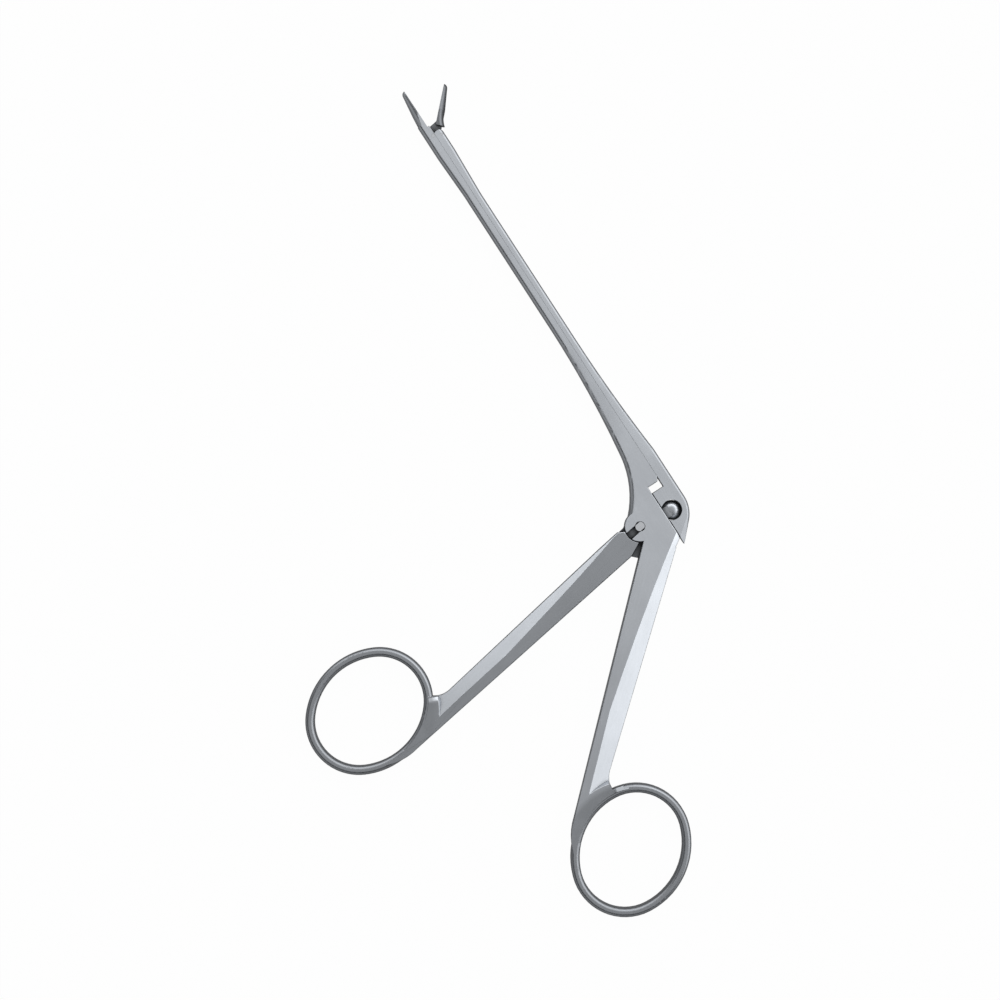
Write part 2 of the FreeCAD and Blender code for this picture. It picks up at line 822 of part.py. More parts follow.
# Upper jaw, drawn closed about its hinge
def upper_jaw():
    x = size.pivot_x + hinge_x
    y = size.pivot_y + size.pivot_drop + hinge_y
    body = new_body("upper_jaw", x, y, -size.jaw_open_angle)
    rim = size.rim_gap
    heel = size.heel_distance
    corners = [
        (-heel, rim),
        (-heel, size.heel_height),
        (-heel - 4.2, size.jaw_half_width - 0.35),
        (-heel - 4.2, rim),
    ]
    sketch = outline(new_sketch(body, "heel"), corners, {1: as_size(-9)})
    prism(body, "Pad", sketch, size.jaw_half_width * 2)
    rounded(body, "heel_rounding", is_heel_top, size.heel_round)
    depth = size.upper_jaw_depth
    jaw_form(body, "upper_jaw_form", 0, 0, heel + 0.5, (depth, depth))
    sketch = new_sketch(body, "jaw_rim_cut")
    far = size.jaw_length + 2
    outline(sketch, [(-heel + 1, rim), (-far, rim), (-far, -4), (-heel + 1, -4)])
    prism(body, "Pocket", sketch, size.thickness)
    cut_cup(body, "upper_cup", 0, 0, 1)

    # Thin tongue: lobe below the rim, hub on the hinge and lug for the drive pin
    half_angle = size.jaw_open_angle / 2
    mid_reach = drive_height / cosine(half_angle / 2)
    lug = polar(mid_reach, half_angle + 90)
    lobe = polar(size.jaw_tongue_radius, size.jaw_open_angle + 180)
    lug_left = moved(polar(size.lug_radius, half_angle + 180), *lug)
    lug_right = moved(polar(size.lug_radius, half_angle), *lug)
    corners = [
        (-size.lobe_reach, rim),
        lobe,
        (0, -size.hub_radius),
        (size.hub_radius, 0),
        lug_right,
        lug_left,
        (-heel + 0.3, 1.7),
        (-size.lobe_reach, 1.7),
    ]
    arcs = {2: size.hub_radius, 4: size.lug_radius * 1.0005}
    sketch = outline(new_sketch(body, "jaw_tongue"), corners, arcs)
    prism(body, "Pad", sketch, size.jaw_tongue_thickness)
    bore = circle(new_sketch(body, "jaw_bore"), 0, 0, size.hinge_pin_radius + size.jaw_pin_gap)
    prism(body, "Pocket", bore, size.thickness)

    # The drive pin works in a short slot that points at the hinge
    half = size.drive_pin_radius + size.jaw_pin_gap
    low = drive_height - 0.02
    high = drive_height / cosine(half_angle) + 0.02
    sketch = new_sketch(body, "drive_slot", "XY", (0, 0, 0), half_angle)
    corners = [(-half, low), (half, low), (half, high), (-half, high)]
    outline(sketch, corners, {0: half * 1.0005, 2: half * 1.0005})
    prism(body, "Pocket", sketch, size.thickness)
    return body


def is_heel_top(edge):
    box = edge.BoundBox
    on_face = box.ZMin > 1 or box.ZMax < -1
    return on_face and box.YMin > 1 and box.YLength < 1.6


# Front handle: bar, ring, tongue and ball
def front_handle():
    body = new_body("front_handle", size.pivot_x, size.pivot_y, size.front_angle)
    inner = size.front_inner
    outer = inner - size.front_width_top
    shoulder = size.shoulder_radius
    start_x = outer + 1.1
    end_x = inner - 1.45
    start_y = -root(shoulder * shoulder - start_x * start_x)
    end_y = -root(shoulder * shoulder - end_x * end_x)
    corners = [
        (outer, -5.5),
        (outer, -12),
        (inner, -12),
        (inner, -7.3),
        (end_x, end_y),
        (start_x, start_y),
    ]
    sketch = outline(new_sketch(body, "shoulder"), corners, {4: -shoulder})
    prism(body, "Pad", sketch, size.thickness)
    handle_bar(body, front, (as_size(0), as_size(0)), None, -12)

    # Tongue between the cheeks, and the neck up to the ball
    ball = turned(size.half_travel, size.arm_height, -size.front_angle)
    reach = root(size.half_travel * size.half_travel + size.arm_height * size.arm_height)
    along = (ball[0] / reach, ball[1] / reach)
    half = size.neck_width / 2

    def on_neck(distance, across):
        return along[0] * distance + along[1] * across, along[1] * distance - along[0] * across

    corners = [
        on_neck(reach - 0.5, -half),
        on_neck(as_size(4.4), -half),
        (-size.cheek_radius + 0.4, 1.0),
        (-size.cheek_radius + 0.4, -1.2),
        (outer + 0.15, -3.6),
        (outer + 0.25, -7),
        (inner - 0.1, -7.2),
        (6.5, -5.7),
        (6.8, -3.4),
        on_neck(as_size(3.2), half + 2.2),
        on_neck(as_size(5.4), half),
        on_neck(reach - 0.5, half),
    ]
    arcs = {1: as_size(6), 9: as_size(-4)}
    sketch = outline(new_sketch(body, "tongue"), corners, arcs)
    prism(body, "Pad", sketch, size.tongue_thickness)

    # Ball end: a thick lens that fills the notch
    sketch = new_sketch(body, "ball_form", "XZ", (ball[0], ball[1], 0))
    half_lens = size.tongue_thickness / 2 + size.ball_crown
    drop = half_lens - size.ball_rim
    bow = bow_radius(size.ball_radius, drop)
    corners = [
        (0, -half_lens),
        (size.ball_radius, -size.ball_rim),
        (size.ball_radius, size.ball_rim),
        (0, half_lens),
    ]
    outline(sketch, corners, {0: bow, 2: bow})
    revolved(body, "Revolution", sketch, "V_Axis")
    bore = circle(new_sketch(body, "pin_bore"), 0, 0, size.pin_radius + size.press_gap)
    prism(body, "Pocket", bore, size.thickness)
    return body


def round_pin(name, x, y, radius, length, turn=None):
    """A plain pin across the thickness."""
    body = new_body(name, x, y, turn)
    sketch = circle(new_sketch(body, name + "_round"), 0, 0, radius)
    prism(body, "Pad", sketch, length)
    return body


def pins():
    length = size.thickness - size.pin_recess * 2
    pivot_pin = round_pin(
        "handle_pivot_pin", size.pivot_x, size.pivot_y, size.pin_radius, length, size.front_angle)
    # Two flats on each end let the pin pass through the mouth of the keyhole
    tongue_half = size.tongue_thickness / 2
    flat = size.pin_flats / 2
    far = size.pin_radius + 1
    for number, (side, end) in enumerate(((1, 1), (1, -1), (-1, 1), (-1, -1))):
        sketch = new_sketch(pivot_pin, f"flat_{number}", "XZ")
        outline(sketch, [
            (flat * side, tongue_half * end),
            (far * side, tongue_half * end),
            (far * side, half_thickness * end),
            (flat * side, half_thickness * end),
        ])
        prism(pivot_pin, "Pocket", sketch, size.pin_radius * 2 + 1)
    length = size.shaft_width - size.pin_recess * 2
    x = size.pivot_x + hinge_x
    y = size.pivot_y + size.pivot_drop + hinge_y
    round_pin("jaw_hinge_pin", x, y, size.hinge_pin_radius, length)
    round_pin("jaw_drive_pin", x + size.half_travel, y + drive_height, size.drive_pin_radius, length)


fixed_half()
sliding_shaft()
upper_jaw()
front_handle()
pins()
document.recompute()

bodies = [item for item in document.Objects if item.TypeId == "PartDesign::Body"]
faults = [
    f"{item.Name}: {', '.join(item.State)}"
    for item in document.Objects
    if "Invalid" in item.State or "Error" in item.State
]
for body in bodies:
    if body.Shape.isNull() or not body.Shape.isValid():
        faults.append(f"{body.Label}: no valid shape")
if faults:
    raise RuntimeError("; ".join(faults))
os.makedirs("parts", exist_ok=True)
for body in bodies:
    body.Shape.exportStep(f"parts/{body.Label}.step")
    print(body.Label, len(body.Shape.Solids), round(body.Shape.Volume, 3))
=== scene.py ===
import math

import bmesh
import bpy
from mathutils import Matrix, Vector
from mathutils.bvhtree import BVHTree


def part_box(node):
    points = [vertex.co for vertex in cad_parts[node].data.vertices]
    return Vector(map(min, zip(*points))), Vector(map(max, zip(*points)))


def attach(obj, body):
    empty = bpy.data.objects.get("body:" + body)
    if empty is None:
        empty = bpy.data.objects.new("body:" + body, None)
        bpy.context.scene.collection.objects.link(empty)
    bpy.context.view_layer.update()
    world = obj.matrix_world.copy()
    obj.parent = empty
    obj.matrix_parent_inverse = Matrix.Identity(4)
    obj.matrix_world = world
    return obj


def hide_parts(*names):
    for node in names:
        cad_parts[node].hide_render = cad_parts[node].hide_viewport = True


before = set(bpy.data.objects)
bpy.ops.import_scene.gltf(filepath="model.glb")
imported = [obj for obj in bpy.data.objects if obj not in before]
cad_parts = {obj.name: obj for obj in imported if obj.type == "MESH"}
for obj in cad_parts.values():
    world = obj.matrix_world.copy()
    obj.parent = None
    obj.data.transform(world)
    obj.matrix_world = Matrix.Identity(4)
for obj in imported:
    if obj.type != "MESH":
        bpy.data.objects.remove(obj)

bl_info = {
    "name": "Disc rongeur finish",
    "version": (1, 0, 0),
    "blender": (4, 5, 0),
    "location": "View3D > Sidebar > Rongeur",
    "description": "Gives a disc rongeur its broken edges, satin steel and studio",
    "category": "Object",
}

MM = 0.001


def middle_of(node):
    low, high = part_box(node)
    return (low + high) / 2


# The handle pivot, the jaw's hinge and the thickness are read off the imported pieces
PIVOT = middle_of("handle_pivot_pin")
HINGE = middle_of("jaw_hinge_pin")
TOP_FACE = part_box("fixed_half")[1].z
MID_PLANE = TOP_FACE / 2

# The plane on which the sliding shaft runs lies a little above the hinge
SLIDE_PLANE = HINGE.y + 0.55 * MM

# Middles of the two finger rings, and the directions in which the handles' outer edges face
FRONT_RING = (PIVOT.x + 1.9 * MM, PIVOT.y - 88.4 * MM)
REAR_RING = (PIVOT.x + 72.1 * MM, PIVOT.y - 49.4 * MM)
FRONT_OUT = (-0.988, -0.155)
REAR_OUT = (0.731, 0.682)


class RongeurSizes(bpy.types.PropertyGroup):
    body_edge: bpy.props.FloatProperty(
        name="Body edge", description="Width of the broken edges of the body and the rings",
        default=0.18 * MM, subtype="DISTANCE", unit="LENGTH", precision=5)
    long_edge: bpy.props.FloatProperty(
        name="Long edge", description="Width of the rounding along the inside of the handles' bars",
        default=0.6 * MM, subtype="DISTANCE", unit="LENGTH", precision=5)
    shaft_round: bpy.props.FloatProperty(
        name="Shaft rounding", description="Width of the rounding along the underside of the lower shaft",
        default=0.95 * MM, subtype="DISTANCE", unit="LENGTH", precision=5)
    shaft_edge: bpy.props.FloatProperty(
        name="Shaft edge", description="Width of the broken edges of the sliding shaft",
        default=0.1 * MM, subtype="DISTANCE", unit="LENGTH", precision=5)
    joint_edge: bpy.props.FloatProperty(
        name="Joint edge", description="Width of the broken edges where the tail sits on the body",
        default=0.28 * MM, subtype="DISTANCE", unit="LENGTH", precision=5)
    jaw_edge: bpy.props.FloatProperty(
        name="Jaw edge", description="Width of the broken edges of the upper jaw",
        default=0.05 * MM, subtype="DISTANCE", unit="LENGTH", precision=5)
    pin_edge: bpy.props.FloatProperty(
        name="Pin edge", description="Width of the rounding on the ends of the pins",
        default=0.08 * MM, subtype="DISTANCE", unit="LENGTH", precision=5)
    view_width: bpy.props.FloatProperty(
        name="View width", description="Width that the camera takes in at the instrument",
        default=270 * MM, subtype="DISTANCE", unit="LENGTH")
    view_aim: bpy.props.FloatVectorProperty(
        name="View aim", description="Middle of the view, measured from the handle pivot",
        default=(-26.5 * MM, -27.7 * MM), size=2, subtype="XYZ", unit="LENGTH")
    view_turn: bpy.props.FloatProperty(
        name="View turn", description="Turn of the camera about the vertical",
        default=math.radians(57.0), subtype="ANGLE", unit="ROTATION")
    lens: bpy.props.FloatProperty(
        name="Lens", description="Focal length of the camera in millimetres", default=100.0)


class RongeurFinish(bpy.types.PropertyGroup):
    steel: bpy.props.FloatVectorProperty(
        name="Satin steel", description="Colour of the forged pieces",
        default=(0.60, 0.62, 0.65), size=3, subtype="COLOR", min=0, max=1)
    pin_steel: bpy.props.FloatVectorProperty(
        name="Pin steel", description="Colour of the ground pins",
        default=(0.66, 0.67, 0.69), size=3, subtype="COLOR", min=0, max=1)
    roughness: bpy.props.FloatProperty(
        name="Roughness", description="Middle roughness of the satin", default=0.36, min=0, max=1)
    zenith: bpy.props.FloatProperty(
        name="Light overhead", description="Strength of the light from straight above", default=0.69)
    tent: bpy.props.FloatProperty(
        name="Light of the tent", description="Strength of the tent at its brightest", default=1.7)


def pick(obj):
    """Make one object the only selected and active one."""
    bpy.ops.object.select_all(action="DESELECT")
    obj.hide_set(False)
    obj.select_set(True)
    bpy.context.view_layer.objects.active = obj


# Triangles' corners closer than WELD are merged, and faces that differ by less than LEVEL are joined
WELD = 0.002 * MM
LEVEL = math.radians(0.1)


def merged_copy(node, name):
    """A copy of a CAD piece with its loose triangles joined into clean faces."""
    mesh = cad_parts[node].data.copy()
    piece = bpy.data.objects.new(name, mesh)
    bpy.context.scene.collection.objects.link(piece)
    mesh.name = name
    pick(piece)
    if mesh.has_custom_normals:
        bpy.ops.mesh.customdata_custom_splitnormals_clear()
    bpy.ops.object.mode_set(mode="EDIT")
    bpy.ops.mesh.select_all(action="SELECT")
    bpy.ops.mesh.remove_doubles(threshold=WELD)
    bpy.ops.mesh.dissolve_limited(angle_limit=LEVEL)
    bpy.ops.mesh.select_all(action="DESELECT")
    bpy.ops.object.mode_set(mode="OBJECT")
    return piece


# The rings' band, its rounding and half its thickness
BAND = 2.5 * MM
RING_ROUND = 1.0 * MM
RING_HALF = 2.2 * MM

# The flat web between a ring and its handle's bevel: how far it reaches from the ring's middle, how far it
# stays inside the bar's outline, and half its thickness, which is a hair below the faces that it joins
WEB_FOOT = 19.1 * MM
WEB_INSET = 0.03 * MM
WEB_HALF = RING_HALF - 0.003 * MM

# The ramp at the web's foot: how long it is and how far it falls
RAMP_RUN = 1.1 * MM
RAMP_DROP = 1.55 * MM

# Rows that are tried for the web, and their turns from the handle's line in degrees
WEB_ROWS = 60
FIRST_ROW = 10
ROW_STEP = 1.25
ROW_POINTS = 3

# A row counts where the ring is wider than its band, and the first few that count blend into the band
BAND_END = BAND * 1.01
BLEND_ROWS = 5

# The bars lose thickness towards their rings between these lengths below the pivot
TAPER_START = 50.0 * MM
TAPER_END = 80.0 * MM


def handle_line(centre, out):
    """Direction from a ring's middle along its handle, towards the pivot."""
    up = Vector((-out[1], out[0], 0))
    if up.dot(PIVOT - centre) < 0:
        up.negate()
    return up


def web_rows(piece, centre, up, out):
    """Directions from the ring's middle across the web that joins it to its handle, with the radii of each.

    The radii are those of the ring's band, of the edge of the flat and of the foot of the ramp before it.
    """
    tree = BVHTree.FromObject(piece, bpy.context.evaluated_depsgraph_get())
    away = Vector((*out, 0))
    rows = []
    for step in range(WEB_ROWS):
        angle = math.radians(FIRST_ROW + step * ROW_STEP)
        line = up * math.cos(angle) - away * math.sin(angle)
        inside = (tree.ray_cast(centre, line)[0] - centre).length
        start = inside + BAND / 2
        outside = start + tree.ray_cast(centre + line * start, line)[3]
        if outside > inside + BAND_END:
            flat = min(WEB_FOOT, outside - 2 * WEB_INSET)
            rows.append((line, (start, flat, min(WEB_FOOT + RAMP_RUN, outside - WEB_INSET))))
    return rows


def fill_web(piece, ring, out):
    """Stop a handle's bevel short of its ring, where the forging stays flat."""
    centre = Vector((*ring, MID_PLANE))
    up = handle_line(centre, out)
    rows = web_rows(piece, centre, up, out)
    reach = abs(up.dot(PIVOT - centre))
    bpy.ops.object.select_all(action="DESELECT")
    bpy.ops.mesh.primitive_grid_add(
        x_subdivisions=len(rows) - 1, y_subdivisions=ROW_POINTS - 1, size=1, location=(0, 0, 0))
    web = bpy.context.object
    web.name = "web"
    grid = sorted(web.data.vertices, key=lambda vert: (round(vert.co.x, 5), vert.co.y))
    drops = {}
    for number, (line, radii) in enumerate(rows):
        blend = max(0.0, 1 - number / BLEND_ROWS) * RING_ROUND
        for place, (radius, drop) in enumerate(zip(radii, (0, blend, blend + RAMP_DROP))):
            vert = grid[number * ROW_POINTS + place]
            vert.co = centre + line * radius
            drops[place_of(vert)] = drop
    bpy.ops.object.mode_set(mode="EDIT")
    bpy.ops.mesh.select_all(action="SELECT")
    bpy.ops.mesh.extrude_region_move(TRANSFORM_OT_translate={"value": (0, 0, MM)})
    bpy.ops.mesh.select_all(action="SELECT")
    bpy.ops.mesh.normals_make_consistent(inside=False)
    bpy.ops.object.mode_set(mode="OBJECT")

    # Both faces lie level with the bar's faces, which fall to the ring's thickness
    for vert in web.data.vertices:
        below = reach - abs(up.dot(vert.co - centre))
        share = min(1.0, max(0.0, (TAPER_END - below) / (TAPER_END - TAPER_START)))
        half = WEB_HALF + (TOP_FACE / 2 - RING_HALF) * share - drops[place_of(vert)]
        vert.co.z = MID_PLANE + (half if vert.co.z > MID_PLANE + MM / 2 else -half)
    pick(piece)
    union = piece.modifiers.new("web", "BOOLEAN")
    union.operation = "UNION"
    union.solver = "EXACT"
    union.object = web
    bpy.ops.object.modifier_apply(modifier=union.name)
    bpy.data.meshes.remove(web.data)


def place_of(vert):
    return round(vert.co.x, 7), round(vert.co.y, 7)


# Edges sharper than SHARP_EDGE are broken into EDGE_FACES faces, unless there is less room than LEAST_CUT
SHARP_EDGE = math.radians(45)
LEAST_CUT = 0.04 * MM
EDGE_FACES = 3

# Share of a neighbouring edge that a cut may take: less where that edge is broken as well
SHARED_ROOM = 0.45
FREE_ROOM = 0.8

# Faces meet in a visible crease past this angle, and large ones keep their own direction at a broken edge
CREASE = math.radians(15.5)
FACE_PULL = 60


def room_at(edge, sharp_edges):
    """How far an edge can be cut back before its cut runs past a neighbouring edge."""
    room = edge.calc_length() * 2
    for vert in edge.verts:
        for other in vert.link_edges:
            if other is not edge:
                room = min(room, other.calc_length() * (SHARED_ROOM if other in sharp_edges else FREE_ROOM))
    return room


def break_edges(piece, width, width_at):
    """Round the sharp edges by the width that width_at gives, by less where there is little room."""
    mesh = bmesh.new()
    mesh.from_mesh(piece.data)
    weights = mesh.edges.layers.float.new("bevel_weight_edge")
    sharp_edges = {}
    for edge in mesh.edges:
        if len(edge.link_faces) == 2 and edge.is_convex and edge.calc_face_angle(0) > SHARP_EDGE:
            wanted = width_at((edge.verts[0].co + edge.verts[1].co) / 2)
            if wanted > 0:
                sharp_edges[edge] = wanted
    for edge, wanted in sharp_edges.items():
        cut = min(wanted, room_at(edge, sharp_edges))
        edge[weights] = cut / width if cut > LEAST_CUT else 0.0
    mesh.to_mesh(piece.data)
    mesh.free()
    heights = [vert.co.z for vert in piece.data.vertices]
    lowest, highest = min(heights), max(heights)
    pick(piece)
    bevel = piece.modifiers.new("broken edges", "BEVEL")
    bevel.limit_method = "WEIGHT"
    bevel.width = width
    bevel.segments = EDGE_FACES
    bevel.use_clamp_overlap = False
    bpy.ops.object.modifier_apply(modifier=bevel.name)

    # A corner where cuts of several widths meet stays between the piece's two faces
    for vert in piece.data.vertices:
        vert.co.z = min(highest, max(lowest, vert.co.z))
    bpy.ops.object.shade_smooth_by_angle(angle=CREASE)
    flat = piece.modifiers.new("face normals", "WEIGHTED_NORMAL")
    flat.keep_sharp = True
    flat.weight = FACE_PULL
    bpy.ops.object.modifier_apply(modifier=flat.name)


class Nodes:
    """Short words for building a material's node tree."""

    def __init__(self, tree):
        self.tree = tree

    def add(self, kind, **settings):
        node = self.tree.nodes.new(kind)
        for key, value in settings.items():
            setattr(node, key, value)
        return node

    def link(self, start, end):
        self.tree.links.new(start, end)

    def feed(self, socket, value):
        """Set a socket to a number, or link it to another node's output."""
        if isinstance(value, (int, float)):
            socket.default_value = value
        else:
            self.link(value, socket)

    def math(self, operation, *values):
        node = self.add("ShaderNodeMath", operation=operation)
        for number, value in enumerate(values):
            self.feed(node.inputs[number], value)
        return node.outputs[0]

    def shared(self, first, share, second):
        """The sum of two values, the first by a share and the second by the rest."""
        most = self.math("MULTIPLY", first, share)
        return self.math("ADD", most, self.math("MULTIPLY", second, 1 - share))

    def blend(self, share, first, second):
        node = self.add("ShaderNodeMix", data_type="FLOAT")
        self.link(share, node.inputs["Factor"])
        self.feed(node.inputs["A"], first)
        self.feed(node.inputs["B"], second)
        return node.outputs["Result"]

    def spread(self, value, low, high, to_low, to_high, smooth=False):
        node = self.add("ShaderNodeMapRange")
        node.interpolation_type = "SMOOTHSTEP" if smooth else "LINEAR"
        for key, number in zip(("From Min", "From Max", "To Min", "To Max"), (low, high, to_low, to_high)):
            node.inputs[key].default_value = number
        self.link(value, node.inputs["Value"])
        return node.outputs["Result"]

    def noise(self, vector, scale, detail, rough):
        node = self.add("ShaderNodeTexNoise")
        node.inputs["Scale"].default_value = scale
        node.inputs["Detail"].default_value = detail
        node.inputs["Roughness"].default_value = rough
        self.link(vector, node.inputs["Vector"])
        return node.outputs["Fac"]

    def axes(self, vector):
        split = self.add("ShaderNodeSeparateXYZ")
        self.link(vector, split.inputs[0])
        return split.outputs

    def levels(self, value, stops):
        """A curve through levels of up to 2, eased from one to the next."""
        curve = self.add("ShaderNodeValToRGB")
        ramp = curve.color_ramp
        ramp.interpolation = "EASE"
        while len(ramp.elements) < len(stops):
            ramp.elements.new(0.5)
        for element, (position, level) in zip(ramp.elements, stops):
            element.position = position
            element.color = (level / 2, level / 2, level / 2, 1)
        self.link(value, curve.inputs[0])
        return self.math("MULTIPLY", curve.outputs[0], 2.0)


def new_material(name):
    material = bpy.data.materials.new(name)
    material.use_nodes = True
    material.node_tree.nodes.clear()
    return material, Nodes(material.node_tree)


# How fine the two kinds of grain and the clouds of the finish are, and how narrow a mark is for its length
FINE_GRAIN = 9000
BROAD_GRAIN = 1400
CLOUDS = 90
GRAIN_STRETCH = 0.06

# Share of the fine kind in the grain, and of the grain in the finish
FINE_SHARE = 0.6
GRAIN_SHARE = 0.55

# Directions of the grain, as turns about the vertical
ALONG_SHAFT = 0.0
FRONT_TURN = math.radians(8.9 - 90)
REAR_TURN = math.radians(43.0 - 90)
JAW_TURN = math.radians(135)

# The least and the best polish, their shades and change of roughness, and how much smoother the pins are
POLISH = (0.3, 0.7)
DULL_SHADE = 0.9
BRIGHT_SHADE = 1.07
ROUGHNESS_CHANGE = 0.05
PIN_SMOOTHER = 0.08

# How strongly and how deeply the grain is cut
GRAIN_BUMP = 0.06
GRAIN_DEPTH = 0.02 * MM

# Painted shade darkens joints and hollows of about this width, where shade falls. How open a place is inside
# and outside of one, and how dark the painted shade makes the steel inside
SHADE_REACH = 1.6 * MM
OPENNESS = (0.4, 0.9)
HOLLOW_SHADE = 0.08

# The upward part of the normal over which a surface comes to count as flat, or as a handle's wide bevel,
# for the painted light and shade
FLAT = (0.965, 0.99)
BEVELLED = (0.89, 0.93)

# Painted highlight on the wide bevels and painted shade on the steeper edges, rings and upper jaw, beside
# the plain steel
BEVEL_HIGHLIGHT = 1.3
EDGE_SHADE = 0.75
RING_SHADE = 0.58
JAW_SHADE = 0.36

# Where the painted light and shade change, from a ring's middle: at the ring's edge, along the bar, and past
# the pivot
RING_EDGE = (17.5 * MM, 19 * MM)
ALONG_BAR = (20 * MM, 80 * MM)
PAST_PIVOT = (92 * MM, 96 * MM)

# A tongue's faces, which get painted shade, lie nearer the middle plane than this
TONGUE_FACE = (1.6 * MM, 1.8 * MM)

# Where the rear handle's grain gives way to the shaft's
GRAIN_CHANGE = (PIVOT.y - 9 * MM, PIVOT.y + 1 * MM)


def grain_along(nodes, place, turn):
    """Fine and broad marks of the satin finish, drawn out along a direction."""
    mapping = nodes.add("ShaderNodeMapping", vector_type="TEXTURE")
    mapping.inputs["Rotation"].default_value = (0, 0, turn)
    nodes.link(place, mapping.inputs["Vector"])
    stretch = nodes.add("ShaderNodeMapping")
    stretch.inputs["Scale"].default_value = (GRAIN_STRETCH, 1, 1)
    nodes.link(mapping.outputs["Vector"], stretch.inputs["Vector"])
    fine = nodes.noise(stretch.outputs["Vector"], FINE_GRAIN, detail=2.0, rough=0.6)
    broad = nodes.noise(stretch.outputs["Vector"], BROAD_GRAIN, detail=3.0, rough=0.6)
    return nodes.shared(fine, FINE_SHARE, broad)


def streaks(nodes, polish_and_painted_light, colour):
    """The steel's colour, darker where it is polished less."""
    ramp = nodes.add("ShaderNodeValToRGB")
    for element, position, shade in zip(ramp.color_ramp.elements, POLISH, (DULL_SHADE, BRIGHT_SHADE)):
        element.position = position
        element.color = (*(min(1.0, channel * shade) for channel in colour), 1)
    nodes.link(polish_and_painted_light, ramp.inputs[0])
    return ramp.outputs["Color"]


def handle_light_and_shade(nodes, place, upward, is_flat, ring, flat_light_levels, far_light_level):
    """Painted light and shade of a piece with a handle, from its ring along the bar to the far side of the
    pivot.
    """
    away = nodes.add("ShaderNodeVectorMath", operation="DISTANCE")
    away.inputs[1].default_value = (*ring, MID_PLANE)
    nodes.link(place, away.inputs[0])
    distance = away.outputs["Value"]
    slant = nodes.spread(upward, *BEVELLED, EDGE_SHADE, BEVEL_HIGHLIGHT)
    tone = nodes.blend(is_flat, slant, nodes.spread(distance, *ALONG_BAR, *flat_light_levels))
    tone = nodes.blend(nodes.spread(distance, *RING_EDGE, 0, 1), RING_SHADE, tone)
    return nodes.blend(nodes.spread(distance, *PAST_PIVOT, 0, 1), tone, far_light_level)


def satin_steel(
        name, colour, roughness, grain_turn, handle_turn=None, ring=None, flat_light_levels=(1, 1), far_light_level=1.0,
        edge_shade=1.0, tongue_shade=1.0):
    """Satin steel whose fine grain runs along a direction. handle_turn is a second one, below the pivot.

    On a piece with a handle, ring is its ring's middle, flat_light_levels are the painted light levels of
    its flats at the ring and at the pivot, and far_light_level is painted beyond the pivot. On any other
    piece, edge_shade is painted shade on what isn't flat. tongue_shade is painted shade on the flats near
    the middle plane.
    """
    material, nodes = new_material(name)
    place = nodes.add("ShaderNodeTexCoord").outputs["Object"]
    grain = grain_along(nodes, place, grain_turn)
    if handle_turn is not None:
        below = nodes.spread(nodes.axes(place)["Y"], *GRAIN_CHANGE, 1, 0, smooth=True)
        grain = nodes.blend(below, grain, grain_along(nodes, place, handle_turn))

    # Soft clouds where the finish was worked more or less
    polish_and_painted_light = nodes.shared(grain, GRAIN_SHARE, nodes.noise(place, CLOUDS, detail=3.0, rough=0.55))
    base = streaks(nodes, polish_and_painted_light, colour)

    # Painted shade: joints and hollows are darkened where they are closed in, which is where shade falls
    reach = nodes.add("ShaderNodeAmbientOcclusion", samples=12)
    reach.inputs["Distance"].default_value = SHADE_REACH
    painted_light_and_shade = nodes.spread(reach.outputs["AO"], *OPENNESS, HOLLOW_SHADE, 1.0)
    facing = nodes.axes(nodes.add("ShaderNodeNewGeometry").outputs["Normal"])
    upward = nodes.math("ABSOLUTE", facing["Z"])
    is_flat = nodes.spread(upward, *FLAT, 0, 1)
    # A plain piece gets painted shade on what isn't flat; a piece with a handle gets its painted light and
    # shade, which also sets its roughness
    if ring is None:
        painted_light_and_shade = nodes.math("MULTIPLY", painted_light_and_shade, nodes.spread(is_flat, 0, 1, edge_shade, 1))
    else:
        polish_and_painted_light = handle_light_and_shade(nodes, place, upward, is_flat, ring, flat_light_levels, far_light_level)
        painted_light_and_shade = nodes.math("MULTIPLY", painted_light_and_shade, polish_and_painted_light)
    # Painted shade on the flats near the middle plane, where the tongue lies recessed
    if tongue_shade < 1:
        from_middle = nodes.math("ABSOLUTE", nodes.math("SUBTRACT", nodes.axes(place)["Z"], MID_PLANE))
        tongue = nodes.math("MULTIPLY", is_flat, nodes.spread(from_middle, *TONGUE_FACE, 1, 0))
        painted_light_and_shade = nodes.math("MULTIPLY", painted_light_and_shade, nodes.spread(tongue, 0, 1, 1, tongue_shade))
    # The painted light and shade multiply the steel's colour
    tint = nodes.add("ShaderNodeMix", data_type="RGBA", blend_type="MULTIPLY")
    tint.inputs["Factor"].default_value = 1.0
    nodes.link(base, tint.inputs["A"])
    nodes.link(painted_light_and_shade, tint.inputs["B"])

    # What is polished less is also a little rougher. On a piece with a handle the roughness follows its
    # painted light and shade instead
    shader = nodes.add("ShaderNodeBsdfPrincipled")
    shader.inputs["Metallic"].default_value = 1.0
    nodes.link(tint.outputs["Result"], shader.inputs["Base Color"])
    rough = nodes.spread(polish_and_painted_light, *POLISH, roughness + ROUGHNESS_CHANGE, roughness - ROUGHNESS_CHANGE)
    nodes.link(rough, shader.inputs["Roughness"])
    bump = nodes.add("ShaderNodeBump")
    bump.inputs["Strength"].default_value = GRAIN_BUMP
    bump.inputs["Distance"].default_value = GRAIN_DEPTH
    nodes.link(grain, bump.inputs["Height"])
    nodes.link(bump.outputs["Normal"], shader.inputs["Normal"])
    output = nodes.add("ShaderNodeOutputMaterial")
    nodes.link(shader.outputs["BSDF"], output.inputs["Surface"])
    return material


